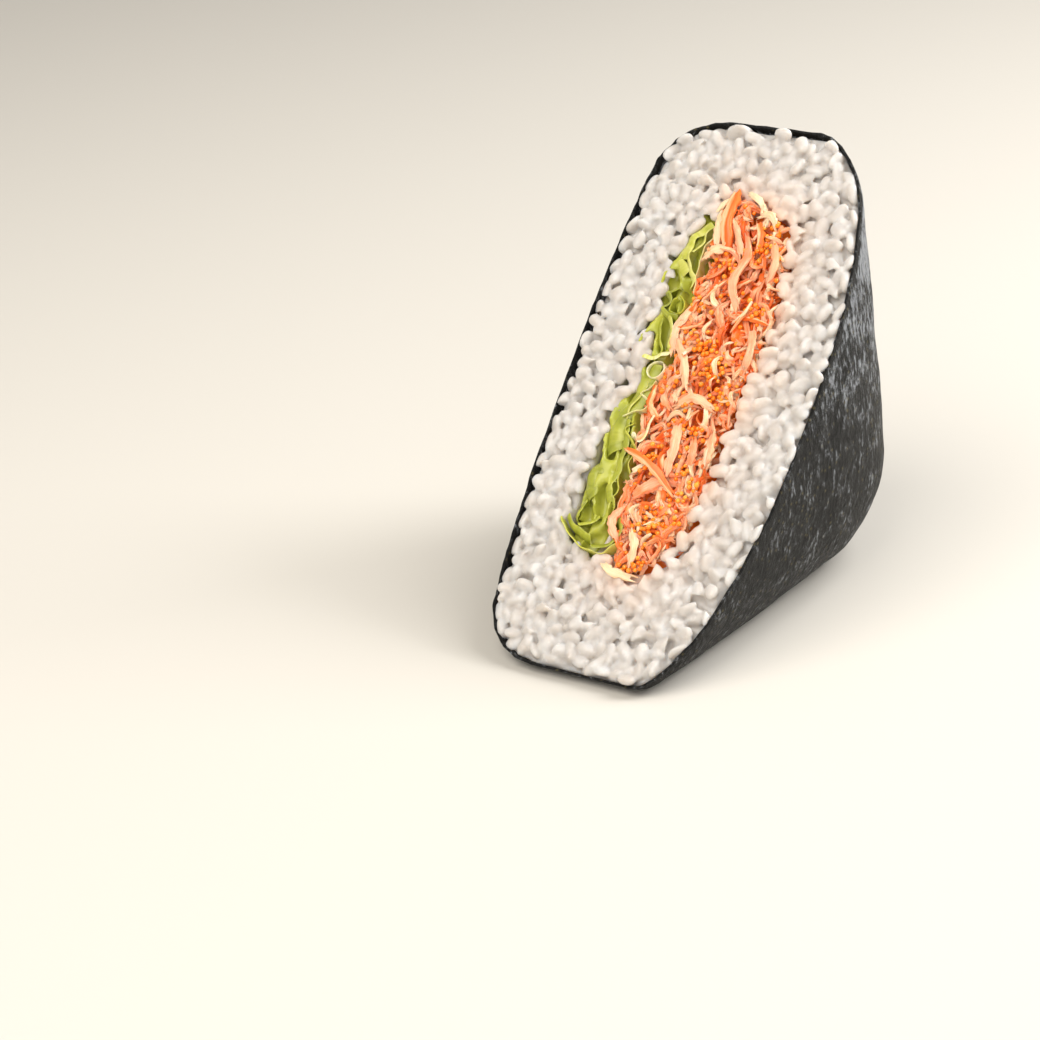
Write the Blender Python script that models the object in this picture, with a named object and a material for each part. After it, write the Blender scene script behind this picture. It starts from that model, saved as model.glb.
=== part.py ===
# Half of a square rice block wrapped in nori, cut corner to corner and rested on one outer side.
# Units are metres. World +X runs through the thickness of the block, the cut face looks towards
# -Y and +Z, and the origin lies under the middle of the model's box, on the resting surface.
# Every piece is modelled in the block's own axes: X is the thickness, Y runs along the cut from
# the low tip to the high tip, and Z stands out of the cut face, so the food lies below Z = 0.

import math
import random

import bmesh
import bpy
from mathutils import Euler, Matrix, Vector

MM = 0.001

# The block, a square seen through its thickness, and the half of it behind the cut
SIDE = 86.2 * MM
REACH = SIDE / math.sqrt(2)        # from the middle of the square to a sharp corner
INRADIUS = SIDE / 2
TIP_RADIUS = 6 * MM                # of the two corners that the cut goes through
BACK_RADIUS = 22.6 * MM            # of the corner that is left whole
SKEW = 0.03                        # the pressed block is a little out of square
THICKNESS = 40.9 * MM              # at the walls, before the large sides crown
THICKNESS_RISE = 1.2 * MM          # how much thicker the high end is than the middle
BACK_BULGE = 5.9 * MM              # extra reach of the right side at the back corner
CROWN_RUN = 38 * MM                # how far in from the wall the crown keeps rising
BLOCK_INSETS = [inset * MM for inset in (0, 0.4, 1.6, 3.8, 7, 11.5, 19, 29)]
LEFT = {"sign": -1, "crown": 3.4 * MM, "low_drop": 11.7 * MM, "high_drop": 13.4 * MM, "edge": 8.3 * MM}
RIGHT = {"sign": 1, "crown": 10.4 * MM, "low_drop": 5.2 * MM, "high_drop": 9.3 * MM, "edge": 13.3 * MM}
TIP_STEPS = 3
BACK_STEPS = 6
STRAIGHT_STEPS = 3

NORI = 0.5 * MM
GAP = 0.35 * MM                    # between neighbouring pieces

# The filling, two flat layers inside the rice with the same plan as the block
FILLING_REACH = 43 * MM
FILLING_INRADIUS = FILLING_REACH / math.sqrt(2)
FILLING_TIP_RADIUS = 10 * MM
FILLING_BACK_RADIUS = 16 * MM
FILLING_SHIFT = 2.5 * MM           # it lies a little towards the high tip
FILLING_INSETS = [inset * MM for inset in (0, 0.9, 3.6, 8, 18)]
KANI = {"left": -2.8 * MM, "right": 14.8 * MM, "middle": 5 * MM, "edge": 9 * MM}
LETTUCE = {"left": -11.2 * MM, "right": -3.2 * MM, "middle": -7 * MM, "edge": 6 * MM}

# The small pieces that show on the cut
RICE_SINK = 1.0 * MM               # how far under the cut each core stops, with the pieces on it
KANI_SINK = 1.0 * MM
LETTUCE_SINK = 1.5 * MM
PIECE_MARGIN = 0.25 * MM           # kept between the small pieces and the next node, past the gap
GRAIN = {"length": 5.4 * MM, "width": 3.1 * MM, "height": 2.5 * MM, "spread": 0.12}
GRAIN_COUNT = 148
GRAIN_SPACING = 3.4 * MM
GRAIN_LIFT = (-0.8 * MM, 0.0)
GRAIN_TILT = 15                    # degrees out of the cut, as a standard deviation
SHRED = {"length": 10.5 * MM, "width": 2.4 * MM, "height": 1.5 * MM, "spread": 0.25}
SHRED_COUNT = 41
SHRED_SPACING = 4.1 * MM
SHRED_LIFT = (-0.8 * MM, 0.6 * MM)
SHRED_BEND = 1.2 * MM
SHRED_TILT = 9
SHRED_HEADING = (90, 32)           # degrees, mostly along the cut
EGG = {"length": 1.6 * MM, "width": 1.6 * MM, "height": 1.6 * MM, "spread": 0.12}
EGG_COUNT = 22
EGG_SPACING = 6 * MM
EGG_LIFT = (-0.7 * MM, -0.3 * MM)
LEAF_LENGTHS = [length * MM for length in (19, 12, 7)]
LEAF_WALL = 0.9 * MM
LEAF_HEIGHT = 5 * MM
LEAF_STEP = 2 * MM
LEAF_ROWS = 3
LEAF_GAP = 1.5 * MM
LEAF_SWAY = (0.55 * MM, 2.1 * MM)  # height and length scale of each wave
LEAF_LEAN = (0.35 * MM, 2.9 * MM)
LEAF_CREST = (0.7 * MM, 3.4 * MM)
LEAF_TOP = 1.3 * MM
TRIES = 9000

random_draw = random.Random(7)


def clear_scene():
    for old in list(bpy.data.objects):
        bpy.data.objects.remove(old, do_unlink=True)


def give_material(part, name, colour, roughness):
    material = bpy.data.materials.new(name)
    material.use_nodes = True
    shader = material.node_tree.nodes["Principled BSDF"]
    shader.inputs["Base Color"].default_value = (*colour, 1.0)
    shader.inputs["Roughness"].default_value = roughness
    shader.inputs["Metallic"].default_value = 0.0
    part.data.materials.clear()
    part.data.materials.append(material)


def make_object(name, points, faces):
    mesh = bpy.data.meshes.new(name)
    mesh.from_pydata([tuple(point) for point in points], [], faces)
    shape = bmesh.new()
    shape.from_mesh(mesh)
    bmesh.ops.triangulate(shape, faces=[face for face in shape.faces if len(face.verts) == 4])
    bmesh.ops.recalc_face_normals(shape, faces=shape.faces)
    shape.to_mesh(mesh)
    shape.free()
    made = bpy.data.objects.new(name, mesh)
    bpy.context.scene.collection.objects.link(made)
    return made


# Plan outlines, and the crowned bodies built on them


def arc(centre_along, centre_depth, radius, start, end, steps):
    points = []
    for step in range(steps + 1):
        turn = start + (end - start) * step / steps
        points.append((centre_along + radius * math.cos(turn), centre_depth + radius * math.sin(turn)))
    return points


def half_plan(reach, tip_radius, back_radius, shift):
    """Points behind the cut, from the low tip round the back corner to the high tip."""
    quarter = math.pi / 4
    tip = reach - tip_radius * math.sqrt(2)
    back = reach - back_radius * math.sqrt(2)
    low_arc = arc(-tip, 0, tip_radius, 4 * quarter, 3 * quarter, TIP_STEPS)
    back_arc = arc(0, back, back_radius, 3 * quarter, quarter, BACK_STEPS)
    high_arc = arc(tip, 0, tip_radius, quarter, 0, TIP_STEPS)
    points = list(low_arc)
    for start, next_arc in ((low_arc[-1], back_arc), (back_arc[-1], high_arc)):
        end = next_arc[0]
        for step in range(1, STRAIGHT_STEPS):
            share = step / STRAIGHT_STEPS
            points.append((start[0] + (end[0] - start[0]) * share, start[1] + (end[1] - start[1]) * share))
        points += next_arc
    return [(along + SKEW * depth + shift, -depth) for along, depth in points]


def edge_round(inset, width):
    """0 at the wall, 1 once the inset passes the rounded edge."""
    left_over = max(0.0, 1 - inset / width)
    return math.sqrt(1 - left_over * left_over)


def block_side(side, shrink):
    """Where a large side of the block lies on X, at a scale of the plan about its middle."""

    def reach(scale, along, depth):
        inset = (1 - scale) * INRADIUS
        rise = along / REACH
        drop = side["low_drop"] + (side["high_drop"] - side["low_drop"]) * (rise + 1) / 2 - shrink
        bulge = BACK_BULGE * -depth / REACH if side is RIGHT else 0.0
        crown = side["crown"] * (1 - (1 - min(inset / CROWN_RUN, 1)) ** 2)
        half = (THICKNESS + THICKNESS_RISE * rise) / 2 + bulge + crown - shrink
        return side["sign"] * (half - drop * (1 - edge_round(inset, side["edge"] - shrink)))

    return reach


def layer_side(limit, layer):
    """Where a side of a filling layer lies on X, rounded towards its own middle."""

    def reach(scale, along, depth):
        rounded = edge_round((1 - scale) * FILLING_INRADIUS, layer["edge"])
        return layer["middle"] + (limit - layer["middle"]) * rounded

    return reach


def block_form(shrink):
    diagonal = shrink * math.sqrt(2)
    return {
        "outline": half_plan(REACH - diagonal, TIP_RADIUS - shrink, BACK_RADIUS - shrink, 0.0),
        "centre": 0.0,
        "left": block_side(LEFT, shrink),
        "right": block_side(RIGHT, shrink),
        "scales": [1 - inset / INRADIUS for inset in BLOCK_INSETS],
    }


def layer_form(layer, grow):
    return {
        "outline": half_plan(
            FILLING_REACH + grow * math.sqrt(2),
            FILLING_TIP_RADIUS + grow,
            FILLING_BACK_RADIUS + grow,
            FILLING_SHIFT,
        ),
        "centre": FILLING_SHIFT,
        "left": layer_side(layer["left"] - grow, layer),
        "right": layer_side(layer["right"] + grow, layer),
        "scales": [1 - inset / FILLING_INRADIUS for inset in FILLING_INSETS],
    }


def form_rows(form):
    """Rows of points from the left side, over the wall, to the right side, and the two poles."""
    centre = form["centre"]
    rows = []
    for side, scales in (("left", form["scales"][::-1]), ("right", form["scales"])):
        for scale in scales:
            row = []
            for along, depth in form["outline"]:
                y = centre + (along - centre) * scale
                z = depth * scale
                row.append(Vector((form[side](scale, y, z), y, z)))
            rows.append(row)
    poles = [Vector((form[side](0.0, centre, 0.0), centre, 0.0)) for side in ("left", "right")]
    return rows, poles


def skin_faces(rows, start):
    """Faces of one open skin: bands between the rows, and a fan to each pole."""
    width = len(rows[0])
    left_pole = start + len(rows) * width
    last = start + (len(rows) - 1) * width
    faces = []
    for row in range(len(rows) - 1):
        for step in range(width - 1):
            first = start + row * width + step
            faces.append((first, first + 1, first + width + 1, first + width))
    for step in range(width - 1):
        faces.append((left_pole, start + step + 1, start + step))
        faces.append((left_pole + 1, last + step, last + step + 1))
    return faces


def rim_loop(rows, start):
    """Point numbers round the open side of a skin."""
    width = len(rows[0])
    left_pole = start + len(rows) * width
    low = [start + row * width for row in range(len(rows))]
    high = [start + row * width + width - 1 for row in range(len(rows))]
    return [left_pole, *low, left_pole + 1, *reversed(high)]


def all_points(rows, poles):
    return [point for row in rows for point in row] + poles


def solid_body(name, form):
    rows, poles = form_rows(form)
    faces = skin_faces(rows, 0)
    faces.append(tuple(rim_loop(rows, 0)))
    return make_object(name, all_points(rows, poles), faces)


def shell_body(name, outer_form, inner_form):
    """A thin shell that is open at the cut."""
    outer_rows, outer_poles = form_rows(outer_form)
    inner_rows, inner_poles = form_rows(inner_form)
    points = all_points(outer_rows, outer_poles)
    start = len(points)
    points += all_points(inner_rows, inner_poles)
    faces = skin_faces(outer_rows, 0)
    faces += [face[::-1] for face in skin_faces(inner_rows, start)]
    outer_rim = rim_loop(outer_rows, 0)
    inner_rim = rim_loop(inner_rows, start)
    for step in range(len(outer_rim)):
        after = (step + 1) % len(outer_rim)
        faces.append((outer_rim[step], outer_rim[after], inner_rim[after], inner_rim[step]))
    return make_object(name, points, faces)


def move_cut_face(body, height):
    """Set the flat cut face of a body to another height."""
    nearly_zero = 0.001 * MM
    for vertex in body.data.vertices:
        if vertex.co.z > -nearly_zero:
            vertex.co.z = height


# Booleans


def apply_boolean(target, boolean):
    bpy.context.view_layer.update()
    evaluated = target.evaluated_get(bpy.context.evaluated_depsgraph_get())
    mesh = bpy.data.meshes.new_from_object(evaluated)
    target.modifiers.remove(boolean)
    target.data = mesh


def cut_out(target, cutter):
    cutter.hide_render = True
    cutter.display_type = "WIRE"
    boolean = target.modifiers.new("cut_out", "BOOLEAN")
    boolean.operation = "DIFFERENCE"
    boolean.object = cutter
    apply_boolean(target, boolean)
    bpy.data.objects.remove(cutter, do_unlink=True)


def fuse(core, pieces):
    """Join the pieces to their core in one union, then remove them."""
    heap = bpy.data.collections.new(core.name + "_pieces")
    bpy.context.scene.collection.children.link(heap)
    for piece in pieces:
        bpy.context.scene.collection.objects.unlink(piece)
        heap.objects.link(piece)
    boolean = core.modifiers.new("fuse", "BOOLEAN")
    boolean.operation = "UNION"
    boolean.solver = "MANIFOLD"
    boolean.operand_type = "COLLECTION"
    boolean.collection = heap
    apply_boolean(core, boolean)
    for piece in list(heap.objects):
        bpy.data.objects.remove(piece, do_unlink=True)
    bpy.data.collections.remove(heap)
    keep_main_body(core)


def keep_main_body(target):
    """Drop loose scraps, and fill the hollows that the union sealed."""
    shape = bmesh.new()
    shape.from_mesh(target.data)
    bodies = []
    unseen = set(shape.verts)
    while unseen:
        group = [unseen.pop()]
        for vertex in group:
            for edge in vertex.link_edges:
                other = edge.other_vert(vertex)
                if other in unseen:
                    unseen.remove(other)
                    group.append(other)
        bodies.append(group)
    bodies.sort(key=len)
    for group in bodies[:-1]:
        bmesh.ops.delete(shape, geom=group, context="VERTS")
    shape.to_mesh(target.data)
    shape.free()


# Placing the small pieces on the cut


def rim_outline(form):
    """The open side of a form, as X and Y pairs on the cut."""
    rows, poles = form_rows(form)
    points = all_points(rows, poles)
    return [(points[number].x, points[number].y) for number in rim_loop(rows, 0)]


def inside(outline, x, y):
    odd_crossings = False
    for (ax, ay), (bx, by) in zip(outline, outline[1:] + outline[:1]):
        if (ay > y) != (by > y) and x < ax + (y - ay) / (by - ay) * (bx - ax):
            odd_crossings = not odd_crossings
    return odd_crossings


def fits(piece, within, without):
    for vertex in piece.data.vertices:
        place = piece.matrix_basis @ vertex.co
        if not inside(within, place.x, place.y):
            return False
        if any(inside(outline, place.x, place.y) for outline in without):
            return False
    return True


def spread(maker, count, spacing, within, without):
    """Drop pieces at random places, each at least the spacing away from those before it."""
    xs, ys = zip(*within)
    places = []
    pieces = []
    for _ in range(TRIES):
        if len(pieces) == count:
            break
        x = random_draw.uniform(min(xs), max(xs))
        y = random_draw.uniform(min(ys), max(ys))
        crowded = any(math.hypot(x - px, y - py) < spacing for px, py in places)
        if crowded or not inside(within, x, y):
            continue
        piece = maker(x, y)
        if fits(piece, within, without):
            places.append((x, y))
            pieces.append(piece)
        else:
            bpy.data.objects.remove(piece, do_unlink=True)
    return pieces


# The small pieces


def drawn_size(piece):
    low = 1 - piece["spread"]
    high = 1 + piece["spread"]
    return [piece[size] * random_draw.uniform(low, high) for size in ("length", "width", "height")]


def put(piece, x, y, lift, roll, tilt, heading):
    place = Matrix.Translation((x, y, random_draw.uniform(*lift)))
    piece.matrix_basis = place @ Euler((roll, tilt, heading)).to_matrix().to_4x4()
    return piece


def ringed_solid(name, rings, first_end, last_end):
    """A closed solid from rings of points, with a point at each end."""
    sides = len(rings[0])
    points = [point for ring in rings for point in ring] + [first_end, last_end]
    first = len(points) - 2
    last_ring = (len(rings) - 1) * sides
    faces = []
    for side in range(sides):
        after = (side + 1) % sides
        for start in range(0, last_ring, sides):
            faces.append((start + side, start + after, start + after + sides, start + side + sides))
        faces.append((first, after, side))
        faces.append((first + 1, last_ring + side, last_ring + after))
    return make_object(name, points, faces)


def oval(name, length, width, height, sides, stations):
    """An egg-like solid along X, with a ring at each station between -1 and 1."""
    rings = []
    for station in stations:
        radius = math.sqrt(1 - station * station) / 2
        ring = []
        for side in range(sides):
            turn = 2 * math.pi * side / sides
            across = radius * width * math.cos(turn)
            ring.append(Vector((station * length / 2, across, radius * height * math.sin(turn))))
        rings.append(ring)
    return ringed_solid(name, rings, Vector((-length / 2, 0, 0)), Vector((length / 2, 0, 0)))


def make_grain(x, y):
    grain = oval("grain", *drawn_size(GRAIN), 6, (-0.55, 0.55))
    roll = random_draw.uniform(0, math.pi)
    tilt = math.radians(random_draw.gauss(0, GRAIN_TILT))
    return put(grain, x, y, GRAIN_LIFT, roll, tilt, random_draw.uniform(0, math.pi))


def make_egg(x, y):
    egg = oval("egg", *drawn_size(EGG), 5, (-0.5, 0.5))
    return put(egg, x, y, EGG_LIFT, 0, 0, random_draw.uniform(0, math.pi))


def make_shred(x, y):
    """A flat strip of crab stick, bent along its length, with blunt ends."""
    length, width, height = drawn_size(SHRED)
    bend = random_draw.uniform(-SHRED_BEND, SHRED_BEND)
    rings = []
    for station, taper in ((-0.5, 0.65), (-0.2, 1.0), (0.2, 1.0), (0.5, 0.65)):
        middle = bend * (1 - 4 * station * station)
        corners = ((1, 1), (-1, 1), (-1, -1), (1, -1))
        rings.append([
            Vector((station * length, middle + side * taper * width / 2, up * taper * height / 2))
            for side, up in corners
        ])
    tip = 0.52 * length
    shred = ringed_solid("shred", rings, Vector((-tip, 0, 0)), Vector((tip, 0, 0)))
    heading = math.radians(random_draw.gauss(*SHRED_HEADING))
    tilt = math.radians(random_draw.gauss(0, SHRED_TILT))
    return put(shred, x, y, SHRED_LIFT, 0, tilt, heading)


def make_leaf(x, y, length, phase):
    """A thin leaf that stands on edge, wavy along its length, from Y on."""
    points = []
    steps = round(length / LEAF_STEP)
    for step in range(steps + 1):
        along = length * step / steps
        sway = LEAF_SWAY[0] * math.sin(along / LEAF_SWAY[1] + phase)
        lean = LEAF_LEAN[0] * math.cos(along / LEAF_LEAN[1] + phase)
        top = LEAF_TOP + LEAF_CREST[0] * math.sin(along / LEAF_CREST[1] + 2 * phase)
        bottom = top - LEAF_HEIGHT
        half = LEAF_WALL / 2
        corners = ((-half, bottom), (half, bottom), (lean + half, top), (lean - half, top))
        points += [Vector((x + sway + across, y + along, height)) for across, height in corners]
    end = len(points) - 4
    faces = [(0, 1, 2, 3), (end + 3, end + 2, end + 1, end)]
    for start in range(0, end, 4):
        for corner in range(4):
            after = (corner + 1) % 4
            faces.append((start + corner, start + corner + 4, start + after + 4, start + after))
    return make_object("leaf", points, faces)


# The sub-parts


def make_nori():
    nori = shell_body("nori", block_form(0.0), block_form(NORI))
    give_material(nori, "roasted_nori", (0.018, 0.020, 0.016), 0.55)
    return nori


def make_rice():
    rice = solid_body("rice", block_form(NORI + GAP))
    move_cut_face(rice, -RICE_SINK)
    pockets = []
    for layer in (KANI, LETTUCE):
        cutter = solid_body("pocket", layer_form(layer, GAP))
        move_cut_face(cutter, RICE_SINK)
        cut_out(rice, cutter)
        pockets.append(rim_outline(layer_form(layer, GAP + PIECE_MARGIN)))
    within = rim_outline(block_form(NORI + GAP + PIECE_MARGIN))
    fuse(rice, spread(make_grain, GRAIN_COUNT, GRAIN_SPACING, within, pockets))
    give_material(rice, "steamed_rice", (0.80, 0.79, 0.74), 0.4)
    return rice


def make_kani_salad():
    kani = solid_body("kani_salad", layer_form(KANI, 0.0))
    move_cut_face(kani, -KANI_SINK)
    within = rim_outline(layer_form(KANI, -PIECE_MARGIN))
    shreds = spread(make_shred, SHRED_COUNT, SHRED_SPACING, within, [])
    eggs = spread(make_egg, EGG_COUNT, EGG_SPACING, within, [])
    fuse(kani, shreds + eggs)
    give_material(kani, "dressed_crab_stick", (0.82, 0.25, 0.08), 0.35)
    return kani


def make_lettuce():
    lettuce = solid_body("lettuce", layer_form(LETTUCE, 0.0))
    move_cut_face(lettuce, -LETTUCE_SINK)
    within = rim_outline(layer_form(LETTUCE, -PIECE_MARGIN))
    low_end = min(y for _, y in within)
    high_end = max(y for _, y in within)
    leaves = []
    for row in range(LEAF_ROWS):
        x = LETTUCE["left"] + (LETTUCE["right"] - LETTUCE["left"]) * (row + 0.6) / (LEAF_ROWS + 0.2)
        y = low_end
        while y < high_end:
            for length in LEAF_LENGTHS:
                leaf = make_leaf(x, y, length, random_draw.uniform(0, 2 * math.pi))
                if fits(leaf, within, []):
                    leaves.append(leaf)
                    y += length
                    break
                bpy.data.objects.remove(leaf, do_unlink=True)
            y += LEAF_GAP
    fuse(lettuce, leaves)
    give_material(lettuce, "lettuce_leaf", (0.33, 0.48, 0.10), 0.35)
    return lettuce


def stand_on_base(parts):
    """Turn the block until its low outer side lies flat, and put the origin under its middle."""
    block = bpy.data.objects.new("block", None)
    bpy.context.scene.collection.objects.link(block)
    block.rotation_euler = (math.atan2(1, 1 + SKEW), 0, 0)
    bpy.context.view_layer.update()
    turned = [block.matrix_world @ vertex.co for part in parts for vertex in part.data.vertices]
    low = [min(point[axis] for point in turned) for axis in range(3)]
    high = [max(point[axis] for point in turned) for axis in range(3)]
    block.location = (-(low[0] + high[0]) / 2, -(low[1] + high[1]) / 2, -low[2])
    for part in parts:
        part.parent = block


def main():
    clear_scene()
    parts = [make_nori(), make_rice(), make_kani_salad(), make_lettuce()]
    stand_on_base(parts)
    for part in parts:
        print(part.name, len(part.data.polygons), "faces")


main()
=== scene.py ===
import math
import random

import bpy
import numpy
from mathutils import Euler, Matrix, Vector, noise


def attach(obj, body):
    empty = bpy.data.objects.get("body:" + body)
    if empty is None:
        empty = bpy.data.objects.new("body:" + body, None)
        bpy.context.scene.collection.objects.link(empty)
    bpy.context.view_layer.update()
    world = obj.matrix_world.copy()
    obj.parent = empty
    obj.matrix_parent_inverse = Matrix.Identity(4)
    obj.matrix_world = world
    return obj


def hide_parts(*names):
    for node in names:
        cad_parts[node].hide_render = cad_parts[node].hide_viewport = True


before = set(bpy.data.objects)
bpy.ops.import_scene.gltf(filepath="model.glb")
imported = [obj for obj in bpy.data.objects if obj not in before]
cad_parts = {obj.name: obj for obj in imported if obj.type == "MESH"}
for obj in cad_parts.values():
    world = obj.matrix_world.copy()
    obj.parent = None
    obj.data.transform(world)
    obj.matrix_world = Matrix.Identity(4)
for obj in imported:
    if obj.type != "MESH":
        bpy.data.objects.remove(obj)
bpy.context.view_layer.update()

mm = 0.001
cutMiddle = (-4.028, -0.906, 42.458)
cutLean = 44.153             # how far the cut face leans back, in degrees
blockPlace = (
    Matrix.Translation([part * mm for part in cutMiddle])
    @ Matrix.Rotation(math.radians(cutLean), 4, "X")
    @ Matrix.Scale(mm, 4)
)
blockTurn = blockPlace.to_3x3()
intoBlock = blockPlace.inverted()


# Working helpers

def deselectAll():
    bpy.ops.object.select_all(action="DESELECT")


def pick(piece):
    deselectAll()
    piece.select_set(True)
    bpy.context.view_layer.objects.active = piece


def editAll(piece):
    pick(piece)
    bpy.ops.object.mode_set(mode="EDIT")
    bpy.ops.mesh.select_all(action="SELECT")


def leaveEdit():
    bpy.ops.object.mode_set(mode="OBJECT")


def applyModifier(piece, name, kind, **settings):
    modifier = piece.modifiers.new(name, kind)
    for key, value in settings.items():
        setattr(modifier, key, value)
    pick(piece)
    bpy.ops.object.modifier_apply(modifier=name)


def shadeSmooth(piece, angle=60):
    pick(piece)
    bpy.ops.object.shade_smooth_by_angle(angle=math.radians(angle))


def setPointValue(mesh, name, values):
    attribute = mesh.attributes.new(name, "FLOAT", "POINT")
    attribute.data.foreach_set("value", values)


def smoothStep(low, high, value):
    share = min(max((value - low) / (high - low), 0), 1)
    return share * share * (3 - 2 * share)


def smoothPath(points, share):
    # a point on a smooth curve through all the points, at a share of its length
    span = share * (len(points) - 1)
    number = min(int(span), len(points) - 2)
    t = span - number
    before, start, end, after = (
        Vector(points[max(0, min(len(points) - 1, number + step))]) for step in (-1, 0, 1, 2)
    )
    return 0.5 * (
        2 * start + (end - before) * t + (2 * before - 5 * start + 4 * end - after) * t * t
        + (3 * start - before - 3 * end + after) * t * t * t
    )


# Camera, floor and light

cameraSettings = {
    "place": (267.94, -424.84, 252.08),
    "azimuth": 36.19,
    "elevation": 24.93,
    "roll": -5.05,
    "lens": 97.9,
}


def addCamera():
    camera = bpy.data.objects.new("camera", bpy.data.cameras.new("camera"))
    bpy.context.scene.collection.objects.link(camera)
    camera.data.lens = cameraSettings["lens"]
    camera.data.sensor_width = 36
    camera.data.clip_start = 0.01
    camera.matrix_world = (
        Matrix.Translation(Vector(cameraSettings["place"]) * mm)
        @ Matrix.Rotation(math.radians(cameraSettings["azimuth"]), 4, "Z")
        @ Matrix.Rotation(math.radians(90 - cameraSettings["elevation"]), 4, "X")
        @ Matrix.Rotation(math.radians(cameraSettings["roll"]), 4, "Z")
    )
    bpy.context.scene.camera = camera
    bpy.context.scene.view_settings.view_transform = "Standard"


lightSettings = [
    {"name": "keyLight", "place": (-0.12, -0.42, 0.68), "size": 0.75, "power": 5.4, "colour": "#FFFAF2"},
    {"name": "topLight", "place": (0.34, 0.36, 0.66), "size": 0.5, "power": 4.4, "colour": "#FFFFFF"},
    {"name": "rimLight", "place": (0.52, 0.44, 0.44), "size": 0.36, "power": 4.4, "colour": "#FFFFFF"},
    {"name": "fillLight", "place": (0.36, -0.62, 0.30), "size": 0.6, "power": 1.7, "colour": "#FFFDF8"},
]
# here, as for the lights, in metres
studioSettings = {
    "aim": (0, 0, 0.04),
    "world": "#F4F1EC",
    "worldStrength": 0.38,
    "floor": "#CBC6BD",
    "floorSize": 8,
    "floorHeight": -0.0001,
}


def toLinear(hexColour):
    parts = [int(hexColour[start:start + 2], 16) / 255 for start in (1, 3, 5)]
    parts = [part / 12.92 if part <= 0.04045 else ((part + 0.055) / 1.055) ** 2.4 for part in parts]
    return (*parts, 1.0)


def addNode(tree, kind, settings=None, links=None):
    # settings with a node property's name set it, all others set the value of an input
    node = tree.nodes.new(kind)
    for key, value in (settings or {}).items():
        if isinstance(key, str) and hasattr(node, key):
            setattr(node, key, value)
        else:
            node.inputs[key].default_value = value
    for key, source in (links or {}).items():
        tree.links.new(source, node.inputs[key])
    return node


def rampStops(node, stops):
    ramp = node.color_ramp
    while len(ramp.elements) < len(stops):
        ramp.elements.new(0.5)
    for element, (position, colour) in zip(ramp.elements, stops):
        element.position = position
        element.color = toLinear(colour)
    return node.outputs["Color"]


def newMaterial(name, **values):
    material = bpy.data.materials.new(name)
    material.use_nodes = True
    shader = material.node_tree.nodes["Principled BSDF"]
    for key, value in values.items():
        shader.inputs[key.replace("_", " ")].default_value = value
    return material, material.node_tree, shader


def addLights():
    for settings in lightSettings:
        light = bpy.data.lights.new(settings["name"], "AREA")
        light.shape = "DISK"
        light.size = settings["size"]
        light.energy = settings["power"]
        light.color = toLinear(settings["colour"])[:3]
        lamp = bpy.data.objects.new(settings["name"], light)
        bpy.context.scene.collection.objects.link(lamp)
        place = Vector(settings["place"])
        aim = Vector(studioSettings["aim"]) - place
        turn = aim.to_track_quat("-Z", "Y").to_matrix().to_4x4()
        lamp.matrix_world = Matrix.Translation(place) @ turn
    world = bpy.data.worlds.new("studio")
    bpy.context.scene.world = world
    world.use_nodes = True
    backdrop = world.node_tree.nodes["Background"]
    backdrop.inputs["Color"].default_value = toLinear(studioSettings["world"])
    backdrop.inputs["Strength"].default_value = studioSettings["worldStrength"]


def addFloor():
    # painted board, matt and pale
    deselectAll()
    bpy.ops.mesh.primitive_plane_add(
        size=studioSettings["floorSize"], location=(0, 0, studioSettings["floorHeight"])
    )
    floor = bpy.context.object
    floor.name = "floor"
    material, tree, shader = newMaterial("paintedBoard", Roughness=0.7)
    shader.inputs["Base Color"].default_value = toLinear(studioSettings["floor"])
    floor.data.materials.append(material)


addCamera()
addLights()
addFloor()
print("stage ready")


# Where things lie on the cut

block = {
    "tip": 58.47,
    "inradius": 43.1,
    "reach": 60.95,
    "thickness": 40.9,
    "rise": 1.2,
    "crownRun": 38,
    "left": {"sign": -1, "crown": 3.4, "low": 11.7, "high": 13.4, "edge": 8.3},
    "right": {"sign": 1, "crown": 10.4, "low": 5.2, "high": 9.3, "edge": 13.3},
    "outlineSteps": 44,
}

kaniOutline = [
    (-1.9, 42.4), (4.1, 41.4), (11.3, 37.8), (13.8, 29.7), (15.4, 19.4), (15.5, 7.9), (14.6, 1.4),
    (14.2, -8.3), (13.4, -17.2), (13.0, -25.3), (9.5, -33.6), (7.3, -36.8), (3.0, -37.2), (0.4, -34.8),
    (0.6, -30.4), (-1.2, -22.0), (-2.1, -17.5), (-3.6, -10.1), (-3.6, -2.1), (-2.8, 4.5), (-2.9, 19.6),
    (-2.1, 32.9),
]
lettuceOutline = [
    (-2.1, 36.5), (-5.3, 36.9), (-8.0, 33.0), (-9.6, 27.3), (-7.4, 22.6), (-9.0, 20.0), (-8.6, 13.6),
    (-7.8, 6.9), (-8.0, 0.9), (-9.6, -5.0), (-11.0, -12.5), (-11.5, -22.2), (-12.6, -29.2),
    (-9.6, -32.4), (-4.4, -34.2), (-0.6, -33.8),
] + kaniOutline[-8:]         # the edge between the two


def wallAt(side, along, shrink):
    # where a large side of the block meets the cut, set in from its outer face by shrink
    tip = block["tip"] - shrink
    inset = (1 - min(abs(along) / tip, 1)) * block["inradius"]
    rise = along / block["reach"]
    drop = side["low"] + (side["high"] - side["low"]) * (rise + 1) / 2 - shrink
    crown = side["crown"] * (1 - (1 - min(inset / block["crownRun"], 1)) ** 2)
    half = (block["thickness"] + block["rise"] * rise) / 2 + crown - shrink
    leftOver = max(0, 1 - inset / (side["edge"] - shrink))
    return side["sign"] * (half - drop * (1 - math.sqrt(1 - leftOver * leftOver)))


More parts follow.
